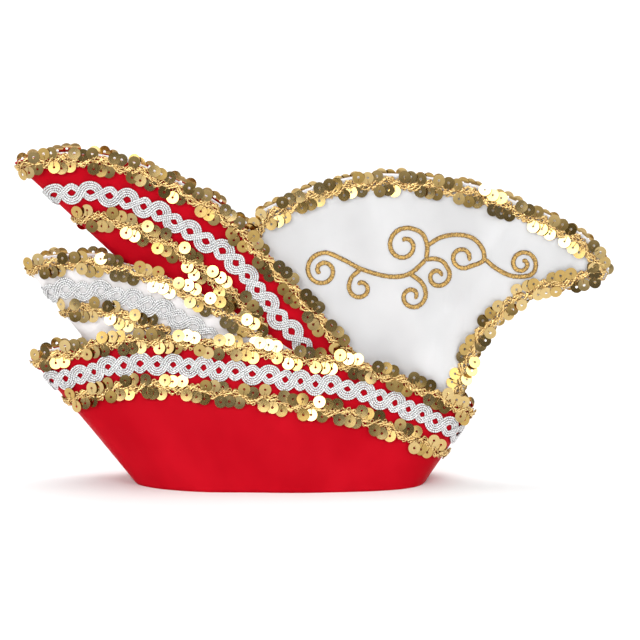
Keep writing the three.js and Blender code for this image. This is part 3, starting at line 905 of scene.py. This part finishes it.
def crest_shape(side):
    """One side of the crest: satin outside, backing inside and rounded edges."""
    stations = np.linspace(0, CREST_LAST, CREST_STEPS * CREST_LAST + 1)
    station, share = np.meshgrid(stations, np.linspace(0, 1, CREST_ROWS), indexing="ij")
    flat = crest_flat(station, share)
    half = crest_half(station, share)
    rise = flat[:, -1] - flat[:, 0]
    from_edge = np.minimum(share, 1 - share) * np.linalg.norm(rise, axis=1)[:, None]
    sewn = np.interp(from_edge, (CREST_SEAM, CREST_PARTING), (SEAM_THICK, WALL))
    open_below = (station < CREST_STERN) & (share < 0.5)
    inner = np.maximum(half - np.where(open_below, WALL, sewn), SLIT_HALF)
    middle = (half + inner) / 2
    reach = (half - inner) / 2
    bend_rise = unit(rise)[:, None] * EDGE_RISE * np.sin(CREST_BENDS)[:, None]
    top_edge = flat[:, -1:] + bend_rise
    low_edge = flat[:, :1] - bend_rise
    top_depth = middle[:, -1:] + reach[:, -1:] * np.cos(CREST_BENDS)
    low_depth = middle[:, :1] - reach[:, :1] * np.cos(CREST_BENDS)
    points = np.concatenate([flat, top_edge, flat[:, ::-1], low_edge], axis=1)
    points[..., 1] = side * np.concatenate([half, top_depth, inner[:, ::-1], low_depth], axis=1)
    rings, size = points.shape[:2]
    faces, _, corner_columns = lattice(rings, size, close_columns=True)
    places = points.reshape(-1, 3)[faces][..., [0, 2]]
    column = corner_columns[:, 0]
    top_middle = CREST_ROWS + len(CREST_BENDS) // 2
    inside = (column >= top_middle) & (column <= top_middle + CREST_ROWS)
    caps = end_caps(rings, size, top_middle)
    finishes = np.append(inside.astype(int), np.ones(len(caps), int))
    faces, places = capped(faces, places, caps, turned_over=side > 0)
    shape = Shape()
    shape.add(points, faces, places, finishes)
    return shape


def sequin_template():
    """Points and faces of one sequin in its own plane: face, rim, underside and hole."""
    angle = ring_angles(SEQUIN_SIDES)
    ring = np.stack([np.cos(angle), np.sin(angle), 0 * angle], axis=1)
    radii = np.array([SEQUIN_HOLE, SEQUIN_RING * SEQUIN_RADIUS, SEQUIN_RADIUS])
    levels = SEQUIN_DISH * (radii / SEQUIN_RADIUS) ** 2
    below = levels - SEQUIN_THICK
    profiles = (
        (radii, levels),
        (radii[[2, 2]], (levels[2], below[2])),
        (radii[[2, 0]], below[[2, 0]]),
        (radii[[0, 0]], (below[0], levels[0])),
    )
    rings = []
    faces = []
    for profile_radii, profile_levels in profiles:
        band, _, _ = lattice(len(profile_radii), SEQUIN_SIDES, close_columns=True)
        faces.append(band + SEQUIN_SIDES * len(rings))
        for radius, level in zip(profile_radii, profile_levels):
            rings.append(ring * radius + (0, 0, level))
    return np.vstack(rings), np.vstack(faces)


SEQUIN_POINTS, SEQUIN_FACES = sequin_template()


def group_places(length, pitch, rng):
    """Places of the groups of sequins along a braid, which lie by turns above and below its chain."""
    count = 2 * max(1, round(length / pitch))
    places = (np.arange(count) + 0.5) * length / count
    return places + rng.uniform(-GROUP_SHIFT, GROUP_SHIFT, count) * pitch


def uneven(angle, errors, group, rng):
    """An angle for each sequin with an error that its group shares, and one of its own."""
    shared = rng.normal(0, errors[0], group[-1] + 1)[group]
    return angle + shared + rng.normal(0, errors[1], len(group))


def sequin_seats(track, groups, covers, looks, rng):
    """Places of the sequins that show along a braid, their middles, and the axes of each."""
    order = np.tile((-1, 0, 1), len(groups))
    group = np.repeat(np.arange(len(groups)), 3)
    side = np.where(group % 2, -1, 1)
    place = groups[group] + order * SEQUIN_STEP + rng.normal(0, PLACE_ERROR, len(order))
    place = np.clip(place, 0, track.length)
    row = side * (SEQUIN_ROW + rng.normal(0, ROW_ERROR, len(order)))
    lift = SEQUIN_LIFT + SEQUIN_LAP * (1 - order) + rng.uniform(0, LIFT_ERROR, len(order))
    lean = np.radians(uneven(SEQUIN_LEAN, LEAN_ERRORS, group, rng))
    nod = np.radians(uneven(looks[0] + looks[1] * order, NOD_ERRORS, group, rng))
    centre = track.spot(place, row, lift)
    along, up, out = track.axes(place)
    facing = unit(out - along * np.tan(lean)[:, None] + up * np.tan(nod)[:, None])
    across = square_to(facing, along)
    upright = np.cross(facing, across)
    past_fold = np.abs(out[:, 1]) < FOLD_TURN
    kept = ~covered(centre, covers, SEQUIN_MARGIN) & ~past_fold
    return place[kept], centre[kept], (across[kept], upright[kept], facing[kept])


def sequin_shape(centre, axes, rng):
    """The sequins of a braid, each with a tint and a part of the film's pattern of its own."""
    count = len(centre)
    points = centre[:, None]
    for axis, reach in zip(axes, SEQUIN_POINTS.T):
        points = points + axis[:, None] * reach[:, None]
    first_points = np.arange(count)[:, None, None] * len(SEQUIN_POINTS)
    faces = (SEQUIN_FACES + first_points).reshape(-1, 4)
    shade = np.repeat(rng.uniform(0, 1, count), len(SEQUIN_POINTS))
    shift = np.repeat(rng.uniform(0, FILM_SPREAD, (count, 2)), len(SEQUIN_FACES), axis=0)
    places = np.tile(SEQUIN_POINTS[SEQUIN_FACES][..., :2], (count, 1, 1)) + shift[:, None]
    shape = Shape()
    shape.add(points, faces, places, shades=shade)
    return shape


def chain_sway(place, groups):
    """How far the chain is swung up at places along it, away from the nearest group of sequins."""
    turn = np.interp(place, groups, np.arange(len(groups)) * math.pi)
    return -CHAIN_SWAY * np.cos(turn)


def chain_shape(track, groups, place, centre, axes):
    """The twisted strands of a chain, and the threads that hold sequins to it."""
    across, _, facing = axes
    shape = Shape()
    steps = np.arange(0, track.length, CHAIN_STEP)
    _, _, outward = track.axes(steps)
    for swing, period, begin, radius, sides in CHAIN_STRANDS:
        twist = 2 * (steps[:, None] * FULL_TURN / STRAND_TWIST + ring_angles(sides))
        radii = radius * (1 - STRAND_PLY * np.cos(twist))
        turn = (steps / period + begin) * FULL_TURN
        lift = CHAIN_LIFT + CHAIN_DEPTH * np.cos(turn)
        line = track.spot(steps, chain_sway(steps, groups) + swing * np.sin(turn), lift)
        shape.tube(line, outward, radii, sides)
    start = centre + facing * THREAD_START
    end = track.spot(place, chain_sway(place, groups), CHAIN_LIFT + THREAD_HOLD)
    bow = (start + end) / 2 + facing * THREAD_BOW
    share = np.linspace(0, 1, THREAD_POINTS)[:, None, None]
    lines = start * (1 - share) ** 2 + bow * 2 * share * (1 - share) + end * share**2
    for line, guide in zip(np.moveaxis(lines, 1, 0), across):
        shape.tube(line, np.broadcast_to(guide, line.shape), THREAD_RADIUS, THREAD_SIDES)
    return shape


def braid(node, track, covers, pitch, looks, seed):
    """Both pieces of a braid: its sequins, and the gold chain with the threads that hold them.

    looks holds the angle by which its sequins look up, and the change of that angle along a group.
    """
    rng = np.random.default_rng(seed)
    groups = group_places(track.length, pitch, rng)
    place, centre, axes = sequin_seats(track, groups, covers, looks, rng)
    sequins = sequin_shape(centre, axes, rng)
    chain = chain_shape(track, groups, place, centre, axes)
    return (
        sequins.piece(f"{node}_sequins", [node], "gold_braid", [SEQUIN_FILM]),
        chain.piece(f"{node}_chain", [node], "gold_braid", [GOLD_LUREX]),
    )


def gimp(node, track, usual_period):
    """Two bundles of silver cord that swing across each other and leave small eyes between."""
    turns = max(1, round(track.length / usual_period))
    period = track.length / turns
    shape = Shape()
    turn = np.linspace(0, FULL_TURN * turns, GIMP_STEPS * turns)
    drift = GIMP_DRIFT * np.sin(GIMP_DRIFT_RATE * turn)
    reach = 1 + sum(share * np.sin(rate * turn + start) for share, rate, start in GIMP_WAVES)
    for swing, bulge, offsets in GIMP_BUNDLES:
        middle = turn * period / FULL_TURN - bulge * np.sin(2 * turn) + drift
        swung = swing * reach * np.sin(turn)
        heading = unit(np.stack([np.gradient(middle), np.gradient(swung)], axis=1))
        lift = GIMP_LIFT + GIMP_WEAVE * np.sign(swing) * np.cos(turn)
        for offset in offsets:
            aside = heading * offset
            place = np.clip(middle - aside[:, 1], 0, track.length)
            line = track.spot(place, swung + aside[:, 0], lift)
            _, _, outward = track.axes(place)
            both = respaced(np.hstack([line, outward]), CORD_BEAD / 2)
            radii = CORD_RADIUS * (1 + CORD_SWELL * np.cos(np.arange(len(both)) * math.pi))
            shape.tube(both[:, :3], both[:, 3:], radii, CORD_SIDES)
    return shape.piece(f"{node}_cords", [node], "silver_gimp", [SILVER_LUREX])


def scroll_line(stem, volute):
    """The middle line of one scroll in the plane of the crest."""
    stem = np.insert(np.array(stem, float), 1, 0, axis=1)
    middle_x, middle_z, end_radius, turns = volute
    away_x, _, away_z = stem[-1] - (middle_x, 0, middle_z)
    start_radius = math.hypot(away_x, away_z)
    share = np.linspace(0, 1, VOLUTE_POINTS)[VOLUTE_SKIP:]
    angle = math.atan2(away_z, away_x) + turns * FULL_TURN * share
    radius = start_radius + (end_radius - start_radius) * share**SCROLL_TIGHTENING
    x = middle_x + radius * np.cos(angle)
    z = middle_z + radius * np.sin(angle)
    curl = np.stack([x, 0 * x, z], axis=1)
    knots = np.vstack([stem, curl[:1]])
    smooth = spline(knots, np.linspace(0, len(knots) - 1, STEM_POINTS * len(knots)))
    return respaced(np.vstack([smooth, curl[1:]]), STITCH / 2)


def scroll_shape(side, seed):
    """Raised lines of satin stitch, each stitch a little ridge across the line."""
    rng = np.random.default_rng(seed)
    shape = Shape()
    bends = np.linspace(0, math.pi, SCROLL_BENDS)
    for stem, volute in SCROLLS:
        line = scroll_line(stem, volute)
        along = unit(np.gradient(line, axis=0))
        across = np.stack([-along[:, 2], 0 * along[:, 0], along[:, 0]], axis=1)
        order = np.arange(len(line))
        from_end = np.minimum(order, order[::-1]) * STITCH / 2
        taper = np.sqrt(np.clip((from_end + SCROLL_BLUNT) / SCROLL_TIP, 0, 1))
        ridge = 1 + STITCH_RIDGE * np.cos(order * math.pi) + rng.normal(0, STITCH_ERROR, len(line))
        size = (taper * ridge)[:, None]
        offset = -np.cos(bends) * SCROLL_WIDE / 2 * size
        slanted = across[:, None] + along[:, None] * STITCH_SLANT
        spots = line[:, None] + slanted * offset[..., None]
        rise = SCROLL_THICK * size * np.sqrt(np.sin(bends))
        ground = crest_half_at(spots.reshape(-1, 3)).reshape(spots.shape[:2])
        spots[..., 1] = side * (ground + rise - SCROLL_SINK)
        faces, rows, columns = lattice(len(line), len(bends), close_columns=True)
        # both edges of a line lie at whole texture places, where the yarn's painted shade falls
        places = np.stack([columns / (len(bends) - 1), lengths_along(line)[rows]], axis=-1)
        caps = end_caps(len(line), len(bends))
        shape.add(spots, *capped(faces, places, caps, turned_over=side > 0))
    return shape


# Pieces of cloth: slot, satin, rows of the mesh on each face and the satin turned in below
PANELS = {
    "body": ("red_satin", RED_SATIN, 44, HEM),
    "wing_middle": ("white_satin", WARM_SATIN, 28, 0),
    "wing_top": ("red_satin", RED_SATIN, 34, 0),
}
cloths = {}
for panel, (slot, cloth, rows, hem) in PANELS.items():
    shape = panel_shape(SHEETS[panel], rows, hem)
    shape.area() / 2
    cloths[panel] = shape.piece(f"{panel}_cloth", [panel], slot, [cloth, BACKING])
for label, side in CREST_SIDES:
    shape = crest_shape(side)
    name = f"crest_{label}"
    shape.area() / 2
    cloths[name] = shape.piece(f"{name}_cloth", ["crest"], "white_satin", [WHITE_SATIN, BACKING])

# Trims
trims = {name: [] for name in cloths}
for seed, (node, panel, line, end_line, *looks) in enumerate(BRAIDS):
    track = panel_track(panel, line, end_line, BRAID_MARGIN)
    trims[panel] += braid(node, track, COVERS[panel], GROUP_PITCH, looks, seed)
for node, panel, line, end_line, usual_period in GIMPS:
    track = panel_track(panel, line, end_line, GIMP_MARGIN)
    trims[panel].append(gimp(node, track, usual_period))
near_track = crest_track(CREST_BRAID_MARGIN)
crest_tracks = {"near": near_track, "far": near_track.mirrored()}
for seed, (label, track) in enumerate(crest_tracks.items(), CREST_BRAID_SEED):
    node = f"braid_crest_{label}"
    pieces = braid(node, track, COVERS["crest"], CREST_GROUP_PITCH, CREST_BRAID_LOOKS, seed)
    trims[f"crest_{label}"] += pieces
for label, side in CREST_SIDES:
    node = f"scroll_{label}"
    shape = scroll_shape(side, SCROLL_SEED + side)
    stitches = shape.piece(f"{node}_stitches", [node], "gold_thread", [GOLD_THREAD])
    trims[f"crest_{label}"].append(stitches)

# Flat cuts of the cloth
for panel, sheet in SHEETS.items():
    stations = np.linspace(-sheet.last, sheet.last, FLAT_STATIONS)
    longest = lengths_along(sheet.top(stations))[-1] * METRES
    tallest = float(sheet.height(stations).max()) * METRES


def studio_floor():
    """A pale sheet of paper that curves up behind the hat, in metres."""
    half_width = 2.6
    bend_start = 0.9
    bend_radius = 0.5
    top = 2.6
    front = [(-6, 0), (-2.4, 0), (-0.6, 0)]
    turn = np.linspace(0, math.pi / 2, 24)
    bend = np.stack([bend_start + bend_radius * np.sin(turn), bend_radius * (1 - np.cos(turn))], axis=1)
    profile = np.vstack([front, bend, [(bend_start + bend_radius, top)]])
    across = np.linspace(-half_width, half_width, 9)
    points = np.array([(x, y, z) for y, z in profile for x in across])
    faces, _, _ = lattice(len(profile), len(across))
    floor = mesh_object("floor", points, faces[:, ::-1], [paper()])


def softbox(name, place, aim, size, power, spread):
    """A flat light whose beam opens by the spread, in degrees."""
    light = bpy.data.lights.new(name, "AREA")
    light.spread = math.radians(spread)
    light.shape = "RECTANGLE"
    light.size, light.size_y = size
    light.energy = power
    obj = scene_object(name, light)
    obj.location = place
    obj.rotation_euler = (Vector(aim) - Vector(place)).to_track_quat("-Z", "Y").to_euler()


def studio_world():
    """Soft light from all round, white from above and dim from the horizon down."""
    world = bpy.data.worlds.new("studio")
    world.use_nodes = True
    tree = world.node_tree
    background = tree.nodes["Background"]
    background.inputs["Strength"].default_value = 0.48
    direction = tree.nodes.new("ShaderNodeTexCoord")
    parts = tree.nodes.new("ShaderNodeSeparateXYZ")
    ramp = tree.nodes.new("ShaderNodeValToRGB")
    dim, white = ramp.color_ramp.elements
    dim.position = 0.1
    dim.color = (0.2, 0.2, 0.2, 1)
    white.position = 0.75
    white.color = (1, 1, 1, 1)
    tree.links.new(direction.outputs["Generated"], parts.inputs[0])
    tree.links.new(parts.outputs["Z"], ramp.inputs["Fac"])
    tree.links.new(ramp.outputs["Color"], background.inputs["Color"])
    bpy.context.scene.world = world
    bpy.context.scene.view_settings.view_transform = "Standard"


def camera():
    """Looks at the near side from 10 degrees above, with the frame about 267 mm wide at the hat."""
    lift = math.radians(10)
    distance = 1.0
    aim = Vector((0.0042, 0, 0.0678))
    back = Vector((0, -math.cos(lift), math.sin(lift)))
    data = bpy.data.cameras.new("camera")
    data.sensor_width = 36
    data.lens = 135
    obj = scene_object("camera", data)
    obj.location = aim + back * distance
    obj.rotation_euler = (-back).to_track_quat("-Z", "Y").to_euler()
    bpy.context.scene.camera = obj


studio_floor()
for name, light in LIGHTS.items():
    softbox(name, *light)
studio_world()
camera()
